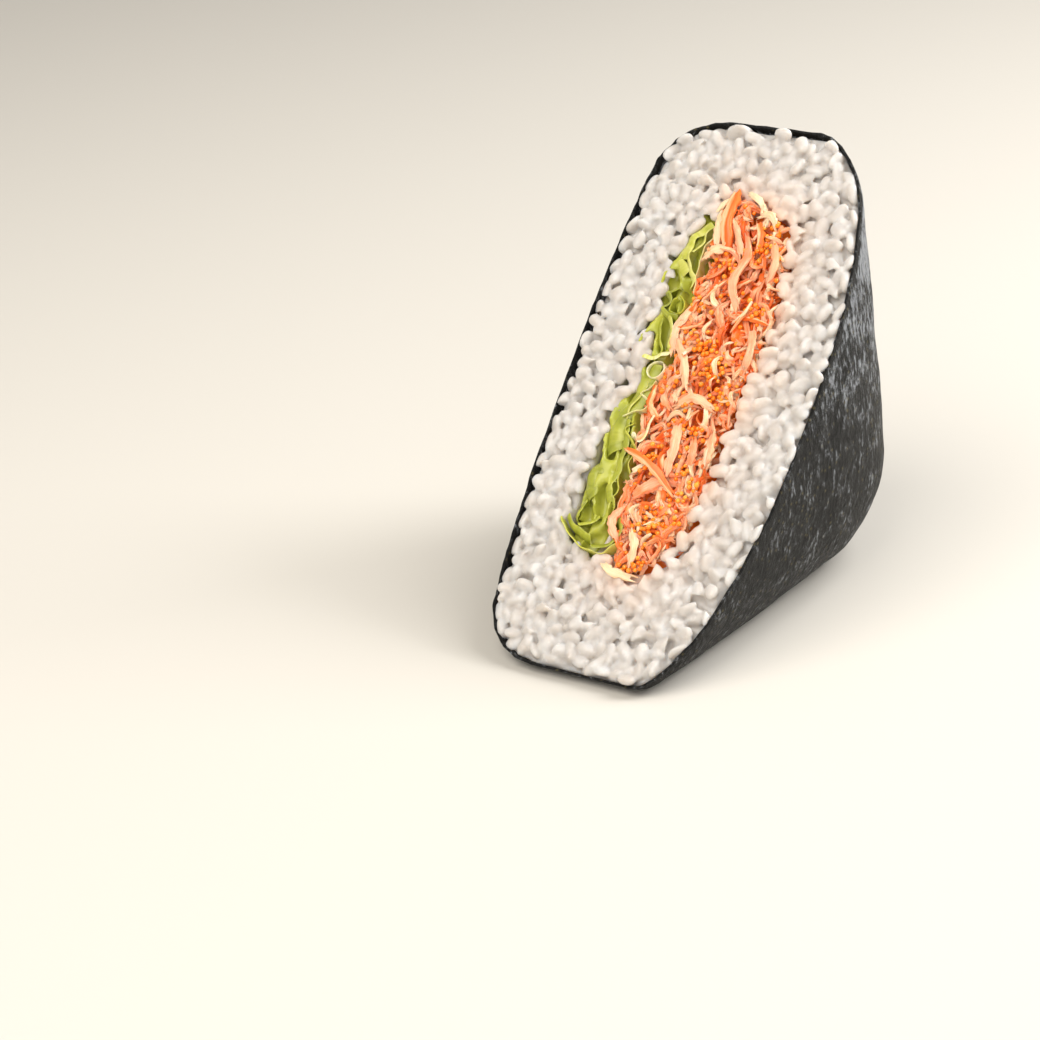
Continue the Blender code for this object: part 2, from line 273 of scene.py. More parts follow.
def cutOutline(shrink):
    steps = block["outlineSteps"]
    rows = [
        (block["tip"] - shrink) * math.sin(math.pi * (step / steps - 0.5)) for step in range(steps + 1)
    ]
    right = [(wallAt(block["right"], row, shrink), row) for row in rows]
    left = [(wallAt(block["left"], row, shrink), row) for row in reversed(rows)]
    return right + left


def isInside(outline, x, y):
    odd = False
    for (ax, ay), (bx, by) in zip(outline, outline[1:] + outline[:1]):
        if (ay > y) != (by > y) and x < ax + (y - ay) / (by - ay) * (bx - ax):
            odd = not odd
    return odd


def edgeDistance(outline, x, y):
    # how far inside an outline a place is, negative outside it
    nearest = 1e9
    for (ax, ay), (bx, by) in zip(outline, outline[1:] + outline[:1]):
        runX, runY = bx - ax, by - ay
        share = ((x - ax) * runX + (y - ay) * runY) / (runX * runX + runY * runY or 1)
        share = min(max(share, 0), 1)
        nearest = min(nearest, math.hypot(x - ax - share * runX, y - ay - share * runY))
    return nearest if isInside(outline, x, y) else -nearest


def joinCopies(name, places, material):
    # one piece from copies of the models, each moved to its place with its own point values
    deselectAll()
    for model, place, values in places:
        mesh = model.data.copy()
        mesh.transform(blockPlace @ place)
        for key, value in values.items():
            setPointValue(mesh, key, [value] * len(mesh.vertices))
        copy = bpy.data.objects.new(name, mesh)
        bpy.context.scene.collection.objects.link(copy)
        copy.select_set(True)
        bpy.context.view_layer.objects.active = copy
    bpy.ops.object.join()
    piece = bpy.context.object
    piece.name = name
    piece.data.materials.clear()
    piece.data.materials.append(material)
    shadeSmooth(piece)
    return piece


def removeModels(models):
    for model in models:
        bpy.data.objects.remove(model, do_unlink=True)


def settle(piece, slot, *nodes):
    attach(piece, "root")
    if nodes:
        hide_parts(*nodes)
    print(piece.name, len(piece.data.polygons), "faces")


# Cores: the solids of the frame, remade as soft lumpy bodies just under the pieces on the cut

coreSettings = {
    "merge": 0.00001,        # metres
    "voxel": 0.8,
    "sinkDepths": (-5.0, -0.5),   # from where the body starts to sink to where it has sunk in full
}


def copyNode(node, name):
    # a node's mesh is loose triangles, so the copy is merged
    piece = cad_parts[node].copy()
    piece.data = piece.data.copy()
    piece.name = name
    piece.parent = None
    bpy.context.scene.collection.objects.link(piece)
    editAll(piece)
    bpy.ops.mesh.remove_doubles(threshold=coreSettings["merge"])
    leaveEdit()
    return piece


def makeCore(node, name, material, sink):
    core = copyNode(node, name)
    applyModifier(core, "remesh", "REMESH", mode="VOXEL", voxel_size=coreSettings["voxel"] * mm)
    for vertex in core.data.vertices:
        place = intoBlock @ vertex.co
        place.z -= sink * smoothStep(*coreSettings["sinkDepths"], place.z)
        vertex.co = blockPlace @ place
    core.data.materials.clear()
    core.data.materials.append(material)
    shadeSmooth(core)
    return core


# Nori: roasted seaweed sheet, near black, with pressed fibres and olive flecks, and a dull grey sheen that is
# partly its gloss and partly painted into its colour higher up

noriSettings = {
    "levels": 3,
    "flat": 60,              # degrees between triangles that are joined to one face
    "crinkle": 0.34,         # how far the sheet waves over the rice
    "crinkleLength": 9,
    "fibre": 0.13,           # relief of the pressed fibres
    "fibreSize": (1.7, 4.0),
    "rimDepth": 0.05,
    "edgeDepth": 2.0,
    "edgeRag": 0.34,         # how uneven the cut edge of the sheet is
    "edgeLengths": (1.6, 6),
    "edgeDrop": 0.1,
    "edgeCalm": 0.85,        # share of the crinkles that is left out beside the cut
    "paintedSheen": 0.24,             # painted sheen: greyer from one height to the next, but not beside the cut
    "paintedSheenHeights": (30, 80),
    "paintedSheenEdge": (-2.2, -0.8),
}


def noriMaterial():
    material, tree, shader = newMaterial("roastedNori", Roughness=0.5, IOR=1.45, Specular_IOR_Level=0.3)
    place = addNode(tree, "ShaderNodeTexCoord").outputs["Object"]
    # fibres lie mostly up and down, drawn about 1 mm apart and 2.3 mm long, coarser than real, to show
    along = addNode(tree, "ShaderNodeMapping", {"Scale": (1050, 1050, 430)}, {"Vector": place})
    fibre = addNode(tree, "ShaderNodeTexNoise",
                    {"Scale": 1.0, "Detail": 8.0, "Roughness": 0.74, "Distortion": 0.25},
                    {"Vector": along.outputs[0]})
    # duller and olive patches, about 5 mm across
    patch = addNode(tree, "ShaderNodeTexNoise",
                    {"Scale": 190.0, "Detail": 4.0, "Roughness": 0.6}, {"Vector": place})
    # flecks about 2 mm apart
    fleck = addNode(tree, "ShaderNodeTexVoronoi", {"Scale": 560.0, "Randomness": 1.0}, {"Vector": place})
    # painted sheen, added to the fibres so the sheet turns grey higher up, where light catches it
    paintedSheen = addNode(tree, "ShaderNodeAttribute", {"attribute_name": "paintedSheen"})
    blotch = addNode(tree, "ShaderNodeMath",
                     {"operation": "MULTIPLY_ADD", 1: 0.5, 2: -0.25}, {0: patch.outputs["Fac"]})
    paintedSheenFibre = addNode(tree, "ShaderNodeMath", {"operation": "ADD"},
                       {0: fibre.outputs["Fac"], 1: paintedSheen.outputs["Fac"]})
    strand = addNode(tree, "ShaderNodeMath", {"operation": "ADD"},
                     {0: paintedSheenFibre.outputs[0], 1: blotch.outputs[0]})
    # near black fibres; the light grey end of this ramp is painted sheen, reached mostly where the painted
    # sheen is added
    base = rampStops(addNode(tree, "ShaderNodeValToRGB", None, {"Fac": strand.outputs[0]}),
                     [(0.42, "#010101"), (0.50, "#060606"), (0.58, "#27282A"), (0.70, "#AEB2B8")])
    tint = rampStops(addNode(tree, "ShaderNodeValToRGB", None, {"Fac": patch.outputs["Fac"]}),
                     [(0.35, "#0B0B08"), (0.55, "#16150F"), (0.72, "#2A2715")])
    mixed = addNode(tree, "ShaderNodeMix", {"data_type": "RGBA", 0: 0.3}, {6: base, 7: tint})
    spot = addNode(tree, "ShaderNodeMapRange",
                   {"From Min": 0.04, "From Max": 0.24, "To Min": 1.0, "To Max": 0.0},
                   {"Value": fleck.outputs["Distance"]})
    spotShare = addNode(tree, "ShaderNodeMath", {"operation": "MULTIPLY", 1: 0.6},
                        {0: spot.outputs["Result"]})
    flecked = addNode(tree, "ShaderNodeMix", {"data_type": "RGBA", 7: toLinear("#6E6440")},
                      {0: spotShare.outputs[0], 6: mixed.outputs[2]})
    tree.links.new(flecked.outputs[2], shader.inputs["Base Color"])
    rough = addNode(tree, "ShaderNodeMapRange",
                    {"From Min": 0.3, "From Max": 0.7, "To Min": 0.66, "To Max": 0.34},
                    {"Value": fibre.outputs["Fac"]})
    tree.links.new(rough.outputs["Result"], shader.inputs["Roughness"])
    bump = addNode(tree, "ShaderNodeBump", {"Strength": 1.0, "Distance": 0.0010},
                   {"Height": fibre.outputs["Fac"]})
    bumpTwo = addNode(tree, "ShaderNodeBump", {"Strength": 0.6, "Distance": 0.0016},
                      {"Height": patch.outputs["Fac"], "Normal": bump.outputs[0]})
    tree.links.new(bumpTwo.outputs[0], shader.inputs["Normal"])
    return material


def makeNori():
    sheet = copyNode("nori", "noriSheet")
    editAll(sheet)
    flat = math.radians(noriSettings["flat"])
    bpy.ops.mesh.tris_convert_to_quads(face_threshold=flat, shape_threshold=flat)
    leaveEdit()
    # the rim at the cut stays sharp
    crease = sheet.data.attributes.new("crease_edge", "FLOAT", "EDGE")
    heights = [(intoBlock @ vertex.co).z for vertex in sheet.data.vertices]
    onRim = [height > -noriSettings["rimDepth"] for height in heights]
    for edge in sheet.data.edges:
        if onRim[edge.vertices[0]] and onRim[edge.vertices[1]]:
            crease.data[edge.index].value = 1.0
    levels = noriSettings["levels"]
    applyModifier(sheet, "soften", "SUBSURF", levels=levels, render_levels=levels)
    low, high = noriSettings["paintedSheenHeights"]
    # painted sheen: greyer from one height to the next, fading out beside the cut
    setPointValue(sheet.data, "paintedSheen", [
        noriSettings["paintedSheen"] * min(max((vertex.co.z / mm - low) / (high - low), 0), 1)
        * (1 - smoothStep(*noriSettings["paintedSheenEdge"], (intoBlock @ vertex.co).z))
        for vertex in sheet.data.vertices
    ])
    crinkleLength, (fibreWidth, fibreLength) = noriSettings["crinkleLength"], noriSettings["fibreSize"]
    fineRag, slowRag = noriSettings["edgeLengths"]
    edgeDepth = noriSettings["edgeDepth"]
    normals = [vertex.normal.copy() for vertex in sheet.data.vertices]
    for vertex, normal in zip(sheet.data.vertices, normals):
        place = intoBlock @ vertex.co
        wave = noise.noise(Vector((
            place.x / crinkleLength, place.y / crinkleLength, place.z / crinkleLength
        )))
        fine = noise.noise(Vector((
            vertex.co.x / mm / fibreWidth, vertex.co.y / mm / fibreWidth, vertex.co.z / mm / fibreLength
        )))
        nearCut = smoothStep(-edgeDepth, 0, place.z)
        calm = 1 - noriSettings["edgeCalm"] * smoothStep(-2.5 * edgeDepth, -edgeDepth / 2, place.z)
        step = calm * (noriSettings["crinkle"] * wave + noriSettings["fibre"] * fine)
        rag = noise.noise(Vector((place.x / fineRag, place.y / fineRag, 3.0)))
        slow = noise.noise(Vector((place.x / slowRag, place.y / slowRag, 8.0)))
        lift = nearCut * (noriSettings["edgeRag"] * (rag + slow) - noriSettings["edgeDrop"])
        vertex.co += normal * step * mm + blockTurn @ Vector((0, 0, lift))
    sheet.data.materials.clear()
    sheet.data.materials.append(noriMaterial())
    shadeSmooth(sheet, 50)
    settle(sheet, "nori", "nori")


makeNori()


# Rice: steamed short grain rice, plump moist grains, white and a little translucent

riceSettings = {
    "seed": 21,
    "coreSink": 1.5,
    "length": (3.7, 4.9),
    "width": (2.5, 3.1),
    "height": (1.6, 1.9),
    "area": ((-26, 32), (-58, 58)),
    "rowInset": 1.2,
    "rowStep": 0.5,          # between tries along the nori
    "rowSpread": 0.45,       # how far the row's grains turn out of line
    # height on the cut, how many are tried, how near they may come, how they lie
    "layers": [
        {"lift": (-0.9, -0.6), "tries": 0, "touch": 0.60, "tilt": 9, "roll": 30},
        {"lift": (-0.42, -0.1), "tries": 9000, "touch": 0.92, "tilt": 10, "roll": 14},
        {"lift": (-0.8, -0.45), "tries": 12000, "touch": 0.62, "tilt": 13, "roll": 25},
        {"lift": (-1.1, -0.75), "tries": 7000, "touch": 0.52, "tilt": 15, "roll": 40},
    ],
    "noriMargin": 0.3,
    "press": 0.12,           # how far a grain presses into the nori
    "fromKani": 0.6,         # room left beside the salad, in half widths of the grain
    "fromLeaf": (0.55, 0.1),   # and beside the leaves, for upper grains and for those that lie low
    "low": -0.7,
    "cell": 3.0,             # grid for finding the grains nearby
    "tipFrom": 53.5,         # near both tips the row rides higher, as the sheet slopes in below it
    "tipRise": 0.8,
    "bedSink": 0.5,
    "bedDepth": 3.0,
    # the bed is pushed out and up at both tips, from one distance and depth to the next
    "tipFill": {"along": (51, 55), "depth": (-2.5, -0.8), "out": 0.9, "up": 0.8},
    "fuse": 0.27,            # grid of the fused surface
    "most": 95000,           # sets how far it is thinned, to stay under 200,000 triangles
    "paintedGapShadeSpread": 14,
    "paintedGapShades": [(0.06, 0.5, 0.22), (0.5, 1.0, 0.45)],   # painted shade in the hollows: from one depth to the next, this much darker
    "toneSize": 2.6,
    "tint": 0.7,
    "tintReach": 3.6,
    "tintSize": 5,
    "tintDepth": 6,
}


def riceMaterial(name):
    material, tree, shader = newMaterial(
        name, IOR=1.38, Specular_IOR_Level=0.5,
        Subsurface_Weight=0.9, Subsurface_Scale=0.0027, Subsurface_Radius=(1.0, 0.88, 0.74),
    )
    place = addNode(tree, "ShaderNodeTexCoord").outputs["Object"]
    # cloudy spots about half a grain across
    cloud = addNode(tree, "ShaderNodeTexNoise", {"Scale": 420.0, "Detail": 3.0}, {"Vector": place})
    tone = addNode(tree, "ShaderNodeAttribute", {"attribute_name": "tone"})
    peach = addNode(tree, "ShaderNodeAttribute", {"attribute_name": "peach"})
    body = rampStops(addNode(tree, "ShaderNodeValToRGB", None, {"Fac": cloud.outputs["Fac"]}),
                     [(0.3, "#C5C3C1"), (0.55, "#CFCDCB"), (0.75, "#D9D8D7")])
    shade = rampStops(addNode(tree, "ShaderNodeValToRGB", None, {"Fac": tone.outputs["Fac"]}),
                      [(0.0, "#E6DCD2"), (0.5, "#F3EEE9"), (1.0, "#FFFFFF")])
    toned = addNode(tree, "ShaderNodeMix",
                    {"data_type": "RGBA", "blend_type": "MULTIPLY", 0: 0.8}, {6: body, 7: shade})
    tinted = addNode(tree, "ShaderNodeMix", {"data_type": "RGBA", 7: toLinear("#F0BC94")},
                     {0: peach.outputs["Fac"], 6: toned.outputs[2]})
    # painted shade: beige grey mixed in where a point lies in a hollow between grains
    paintedGapShade = addNode(tree, "ShaderNodeAttribute", {"attribute_name": "paintedGapShade"})
    shadedInGaps = addNode(tree, "ShaderNodeMix", {"data_type": "RGBA", 7: toLinear("#B8A792")},
                     {0: paintedGapShade.outputs["Fac"], 6: tinted.outputs[2]})
    tree.links.new(shadedInGaps.outputs[2], shader.inputs["Base Color"])
    rough = addNode(tree, "ShaderNodeMapRange", {"To Min": 0.14, "To Max": 0.36},
                    {"Value": cloud.outputs["Fac"]})
    tree.links.new(rough.outputs["Result"], shader.inputs["Roughness"])
    bump = addNode(tree, "ShaderNodeBump", {"Strength": 0.25, "Distance": 0.0003},
                   {"Height": cloud.outputs["Fac"]})
    tree.links.new(bump.outputs[0], shader.inputs["Normal"])
    return material


def grainModel(name, bend, notch, cutAt):
    # a unit grain along X, with the notch of the lost germ near one end, broken off at cutAt if that is set
    deselectAll()
    bpy.ops.mesh.primitive_uv_sphere_add(segments=12, ring_count=8, radius=1)
    model = bpy.context.object
    model.name = name
    for vertex in model.data.vertices:
        x, y, z = vertex.co.z, vertex.co.x, vertex.co.y
        # blunter at the ends than an egg
        full = math.sqrt((1 - abs(x) ** 2.9) / (1 - x * x)) if abs(x) < 0.999 else 0
        y, z = y * full, z * full
        z += bend * (1 - x * x) - 0.5 * bend
        if x > 0.45 and z > 0:
            z -= notch * (x - 0.45) / 0.55
        vertex.co = (0.5 * x, 0.5 * y * (1 + 0.08 * x), 0.5 * z)
    if cutAt:
        editAll(model)
        bpy.ops.mesh.bisect(
            plane_co=(cutAt, 0, 0), plane_no=(1, 0.35, 0.25), use_fill=True, clear_outer=True
        )
        leaveEdit()
    return model


def grainReach(size, turn, way):
    # how far a grain reaches from its middle in one direction, less what it presses into the nori
    local = turn.to_matrix().transposed() @ way
    across = math.sqrt(sum((full * part) ** 2 for full, part in zip(size, local)))
    return 0.52 * across - riceSettings["press"]


def packGrains(draws, models):
    cell = riceSettings["cell"]
    room = {}
    wall = cutOutline(riceSettings["noriMargin"])
    places = []

    def tooClose(beads, radius, touch):
        for bead in beads:
            home = [math.floor(value / cell) for value in bead]
            for dx in (-1, 0, 1):
                for dy in (-1, 0, 1):
                    for other, otherRadius in room.get((home[0] + dx, home[1] + dy), ()):
                        if (bead - other).length < touch * (radius + otherRadius):
                            return True
        return False

    # the first grains lie in a row against the nori, the others anywhere
    row = []
    inset, rowStep = riceSettings["rowInset"], riceSettings["rowStep"]
    for (ax, ay), (bx, by) in zip(wall, wall[1:] + wall[:1]):
        run = math.hypot(bx - ax, by - ay)
        for step in range(round(run / rowStep)):
            share = (step + draws.random()) * rowStep / run
            inX, inY = -(by - ay) / run * inset, (bx - ax) / run * inset
            heading = math.atan2(by - ay, bx - ax)
            row.append((ax + (bx - ax) * share + inX, ay + (by - ay) * share + inY, heading))
    for layer in riceSettings["layers"]:
        for number in range(layer["tries"] or len(row)):
            x, y = (draws.uniform(*span) for span in riceSettings["area"])
            heading, rise = draws.uniform(0, 2 * math.pi), 0
            if not layer["tries"]:
                x, y, heading = row[number]
                heading += draws.gauss(0, riceSettings["rowSpread"])
                rise = riceSettings["tipRise"] if abs(y) > riceSettings["tipFrom"] else 0
            size = [draws.uniform(*riceSettings[key]) for key in ("length", "width", "height")]
            length, width, height = size
            lift = rise + draws.uniform(*layer["lift"])
            # most grains lie pressed flat
            turn = Euler((
                draws.choice((0, math.pi)) + math.radians(draws.gauss(0, layer["roll"])),
                math.radians(draws.gauss(0, layer["tilt"])),
                heading,
            ))
            model = draws.choice(models)
            radius = (width + height) / 4
            axis = turn.to_matrix() @ Vector((1, 0, 0))
            reach = length / 2 - radius
            centre = Vector((x, y, lift))
            beads = [centre - axis * reach, centre, centre + axis * reach]
            if tooClose(beads, radius, layer["touch"]):
                continue
            fromWall = edgeDistance(wall, x, y)
            out = Vector((edgeDistance(wall, x - 0.2, y) - edgeDistance(wall, x + 0.2, y),
                          edgeDistance(wall, x, y - 0.2) - edgeDistance(wall, x, y + 0.2), 0)).normalized()
            fromTip = (block["tip"] - riceSettings["noriMargin"] - abs(y) + lift) / math.sqrt(2)
            tipWay = Vector((0, math.copysign(1, y), -1)).normalized()
            if fromWall < grainReach(size, turn, out) or fromTip < grainReach(size, turn, tipWay):
                continue
            fromKani = max(edgeDistance(kaniOutline, bead.x, bead.y) for bead in beads)
            fromLeaf = max(edgeDistance(lettuceOutline, bead.x, bead.y) for bead in beads)
            leafRoom = riceSettings["fromLeaf"][0 if lift > riceSettings["low"] else 1]
            if fromKani > -radius * riceSettings["fromKani"] or fromLeaf > -radius * leafRoom:
                continue
            for bead in beads:
                key = (math.floor(bead.x / cell), math.floor(bead.y / cell))
                room.setdefault(key, []).append((bead, radius))
            turned = Matrix.Translation(centre) @ turn.to_matrix().to_4x4()
            places.append((model, turned @ Matrix.Diagonal((*size, 1)), {}))
    return places


def paintedGapShadeShares(mesh):
    # painted shade in the hollows between grains, from how far each point lies below the ground around it, 0 to
    # 1
    ends = [0] * (2 * len(mesh.edges))
    mesh.edges.foreach_get("vertices", ends)
    ends = numpy.array(ends).reshape(-1, 2)
    heights = numpy.array([(intoBlock @ vertex.co).z for vertex in mesh.vertices])
    near = numpy.bincount(ends.ravel(), minlength=len(heights)) + 1.0
    level = heights.copy()
    for _ in range(riceSettings["paintedGapShadeSpread"]):
        total = level.copy()
        total += numpy.bincount(ends[:, 0], weights=level[ends[:, 1]], minlength=len(heights))
        total += numpy.bincount(ends[:, 1], weights=level[ends[:, 0]], minlength=len(heights))
        level = total / near
    total = numpy.zeros(len(heights))
    for low, high, share in riceSettings["paintedGapShades"]:
        total += numpy.clip((level - heights - low) / (high - low), 0, 1) * share
    return total.tolist()


def colourRice(piece):
    # lighter and darker grains, and a peach tint where the dressing has soaked in beside the salad
    tones, tints = [], []
    for vertex in piece.data.vertices:
        place = intoBlock @ vertex.co
        tones.append(0.5 + 0.6 * noise.noise(place / riceSettings["toneSize"]))
        near = place.z > -riceSettings["tintDepth"] and abs(place.x - 6) < 20
        away = -edgeDistance(kaniOutline, place.x, place.y) if near else 99
        uneven = 0.75 + 0.5 * noise.noise(place / riceSettings["tintSize"] + Vector((0, 0, 40)))
        tints.append(riceSettings["tint"] * uneven * math.exp(-max(0, away) / riceSettings["tintReach"]))
    # painted shade in the hollows between grains
    setPointValue(piece.data, "paintedGapShade", paintedGapShadeShares(piece.data))
    setPointValue(piece.data, "tone", tones)
    setPointValue(piece.data, "peach", tints)


def makeRice():
    draws = random.Random(riceSettings["seed"])
    core = makeCore("rice", "riceCore", riceMaterial("packedRice"), riceSettings["coreSink"])
    bed = makeCore("rice", "riceBed", core.data.materials[0], riceSettings["bedSink"])
    colourRice(core)
    settle(core, "rice", "rice")
    models = [
        grainModel("grainWhole", 0.10, 0.10, None),
        grainModel("grainPlump", 0.03, 0.16, None),
        grainModel("grainBent", 0.20, 0.06, None),
        grainModel("grainBroken", 0.06, 0.08, 0.2),
    ]
    places = packGrains(draws, models)
    print(len(places), "grains packed")
    grains = joinCopies("riceGrains", places, riceMaterial("steamedRice"))
    removeModels(models)
    # a shallow bed goes in under them, and all fuse where they press together, as sticky rice does
    fill = riceSettings["tipFill"]
    for vertex in bed.data.vertices:
        place = intoBlock @ vertex.co
        share = smoothStep(*fill["along"], abs(place.y)) * smoothStep(*fill["depth"], place.z)
        push = Vector((0, math.copysign(fill["out"], place.y), fill["up"]))
        vertex.co = blockPlace @ (place + push * share)
    editAll(bed)
    bpy.ops.mesh.bisect(
        plane_co=blockPlace @ Vector((0, 0, -riceSettings["bedDepth"])),
        plane_no=blockTurn @ Vector((0, 0, 1)), use_fill=True, clear_inner=True,
    )
    leaveEdit()
    grains.select_set(True)
    bpy.context.view_layer.objects.active = grains
    bpy.ops.object.join()
    while len(grains.data.materials) > 1:
        grains.data.materials.pop(index=1)
    applyModifier(grains, "fuse", "REMESH", mode="VOXEL", voxel_size=riceSettings["fuse"] * mm)
    share = riceSettings["most"] / len(grains.data.polygons)
    if share < 1:
        applyModifier(grains, "thin", "DECIMATE", ratio=share)
    grains.data.validate()
    colourRice(grains)
    shadeSmooth(grains, 80)
    settle(grains, "rice")


makeRice()


# Strips and sheets: a slab bent along a path, shaped by how far along, across and up each point lies

def bentSlab(name, path, stations, across, shape):
    deselectAll()
    bpy.ops.mesh.primitive_grid_add(x_subdivisions=stations, y_subdivisions=across, size=1)
    slab = bpy.context.object
    slab.name = name
    applyModifier(slab, "thick", "SOLIDIFY", thickness=1.0, offset=0.0)
    frames = {}
    for vertex in slab.data.vertices:
        u, v, w = vertex.co.x + 0.5, 2 * vertex.co.y, 2 * vertex.co.z
        key = round(u, 4)
        if key not in frames:
            ahead = smoothPath(path, min(u + 0.01, 1)) - smoothPath(path, max(u - 0.01, 0))
            ahead.normalize()
            side = Vector((0, 0, 1)).cross(ahead)
            if side.length < 0.01:
                side = Vector((1, 0, 0))
            side.normalize()
            frames[key] = (smoothPath(path, u), ahead, side, ahead.cross(side))
        vertex.co = shape(u, v, w, *frames[key])
    editAll(slab)
    bpy.ops.mesh.normals_make_consistent(inside=False)
    leaveEdit()
    return slab


# Crab stick: surimi torn into flat fibrous strips, cream to salmon pink, coated in spicy dressing

kaniSettings = {
    "seed": 5,
    "coreSink": 2.6,
    "stations": 10,
    "across": 5,
    "models": 14,
    "length": (4.5, 10.5),
    "width": (0.9, 1.9),
    "thick": (0.75, 1.25),
    "area": ((-4, 16), (-38, 43)),
    "tries": 9000,
    "alongShare": 0.75,      # this share of the strips runs along the cut, more or less
    "alongSpread": 34,
    "halfLength": 4.0,       # of a usual strip, for keeping its ends inside the outline
    "over": 0.5,
    "layers": [
        {"count": 140, "lift": (-2.4, -1.3), "tone": (0.4, 0.85), "tilt": 10, "roll": 30, "long": (0.7, 1.1)},
        {"count": 200, "lift": (-1.4, -0.4), "tone": (0.25, 0.9), "tilt": 13, "roll": 38, "long": (0.4, 0.9)},
        {"count": 165, "lift": (-0.5, 0.4), "tone": (0.05, 0.65), "tilt": 15, "roll": 34, "long": (0.25, 0.75)},
    ],
    "edgeLayer": {"count": 210, "lift": (-1.3, 0.1), "tone": (0.1, 0.8), "tilt": 16, "roll": 38,
                  "long": (0.28, 0.6), "band": 2.6},
    "coatedLayer": {"count": 34, "lift": (-1.0, 0.3), "tone": (0, 1), "tilt": 14, "roll": 40,
                    "long": (0.45, 0.9)},
    # strips that stand out, each with its path, width, thickness and tone
    "placedStations": 14,
    "placed": [
        ([(-2.9, 39.0, 0.3), (-2.1, 35.4, 0.9), (-1.3, 31.4, 0.3)], 1.8, 0.8, 0.18),
        ([(0.3, 37.4, 0.9), (2.6, 34.2, 0.9), (4.7, 30.0, 0.3)], 1.5, 0.7, 0.3),
        ([(4.2, 34.6, 0.2), (6.3, 31.0, 0.9), (6.2, 28.2, 1.1), (5.3, 25.3, 1.1), (6.1, 22.1, 0.9),
          (7.9, 19.0, 0.1)], 2.1, 0.9, 0.42),
        ([(-3.0, 28.6, 0.5), (-1.2, 30.4, 1.0), (1.0, 31.0, 0.7)], 2.4, 0.8, 0.2),
        ([(-2.4, 11.0, 0.4), (0.8, 7.0, 1.0), (3.4, 1.4, 0.6)], 1.8, 0.8, 0.25),
        ([(-2.3, 8.2, 0.3), (-3.1, 13.0, 0.8), (-1.6, 18.0, 0.4)], 1.8, 0.8, 0.3),
        ([(0.8, -22.1, 0.6), (3.0, -20.3, 1.2), (5.3, -18.0, 0.5)], 2.5, 1.4, 0.42),
        ([(4.3, -5.6, 0.3), (5.7, -10.3, 1.1), (5.9, -16.4, 0.6)], 2.0, 0.8, 0.33),
        ([(12.4, -6.6, 0.2), (13.2, -10.0, 0.9), (12.9, -13.6, 0.3)], 2.0, 0.8, 0.36),
        ([(9.0, -8.6, 0.3), (9.9, -11.2, 0.8), (9.9, -14.2, 0.1)], 1.8, 0.9, 0.5),
        ([(2.5, -2.6, 0.3), (6.0, -0.4, 1.1), (10.6, -1.9, 0.4)], 1.9, 0.8, 0.32),
        ([(-0.6, -24.4, 0.3), (-1.6, -27.8, 0.9), (0.4, -31.0, 0.4)], 1.8, 1.1, 0.4),
        ([(10.6, 33.8, 0.4), (12.6, 29.8, 0.8), (12.3, 25.6, 0.3)], 1.7, 0.7, 0.35),
        ([(12.6, 15.4, 0.3), (14.1, 11.6, 0.9), (13.8, 6.8, 0.2)], 2.1, 0.8, 0.38),
        ([(3.2, -29.0, 0.5), (5.0, -32.0, 1.0), (5.2, -35.4, 0.4)], 1.8, 1.2, 0.2),
        ([(-1.6, -35.2, -0.2), (1.7, -37.4, 0.5), (6.6, -37.6, -0.1)], 1.9, 0.9, 0.1),
        ([(1.2, 43.6, 0.0), (3.8, 42.6, 0.6), (6.4, 40.2, 0.0)], 1.3, 0.7, 0.08),
        ([(-4.4, 38.4, 0.0), (-3.0, 40.6, 0.4), (-1.6, 41.6, 0.0)], 1.3, 0.7, 0.08),
        ([(5.8, 39.0, 0.3), (8.2, 39.4, 0.8), (9.8, 37.0, 0.2)], 1.4, 0.7, 0.15),
    ],
    # and those with the red skin of the stick
    "coatedStations": 16,
    "placedCoated": [
        ([(-1.0, 42.9, 0.6), (-0.4, 36.2, 1.3), (1.6, 29.8, -0.6)], 3.0, 1.2),
        ([(-4.3, -13.0, 0.8), (0.4, -14.6, 1.7), (4.9, -17.0, 1.5), (8.8, -20.2, 0.0)], 1.5, 1.0),
        ([(5.4, -19.0, -0.2), (6.4, -21.5, 0.2), (7.2, -24.4, -0.6)], 2.2, 0.9),
        ([(-0.4, -20.0, 0.0), (-1.3, -23.4, 0.6), (-0.9, -26.6, 0.0)], 1.6, 0.8),
        ([(5.8, 37.6, 0.3), (7.6, 34.6, 0.7), (8.0, 31.2, 0.0)], 1.7, 0.8),
    ],
}


def stripShape(width, thick, roll, twist, draws, stations, across):
    # torn strip: uneven edges, a few proud fibres, thin at the sides and frayed at both ends
    ragged = {(side, step): draws.uniform(0.66, 1.22) for side in (-1, 1) for step in range(stations + 1)}
    fray = [draws.uniform(-0.9, 1.1) for _ in range(across + 1)]
    groove = [draws.uniform(0.4, 1.25) for _ in range(across + 1)]

    def shape(u, v, w, centre, ahead, side, up):
        step = round(u * stations)
        lane = round((v + 1) / 2 * across)
        full = 1 - 0.45 * abs(2 * u - 1) ** 3
        half = width / 2 * full
        if abs(v) > 0.99:
            half *= ragged[(1 if v > 0 else -1, step)]
        high = thick / 2 * (1 - 0.55 * v * v) * groove[lane] * (1 - 0.35 * abs(2 * u - 1) ** 4)
        turn = math.radians(roll + twist * (u - 0.5))
        leanSide = side * math.cos(turn) + up * math.sin(turn)
        leanUp = up * math.cos(turn) - side * math.sin(turn)
        end = fray[lane] * (1 if u > 0.99 else -1) if u > 0.99 or u < 0.01 else 0
        return centre + leanSide * v * half + leanUp * w * high + ahead * end

    return shape


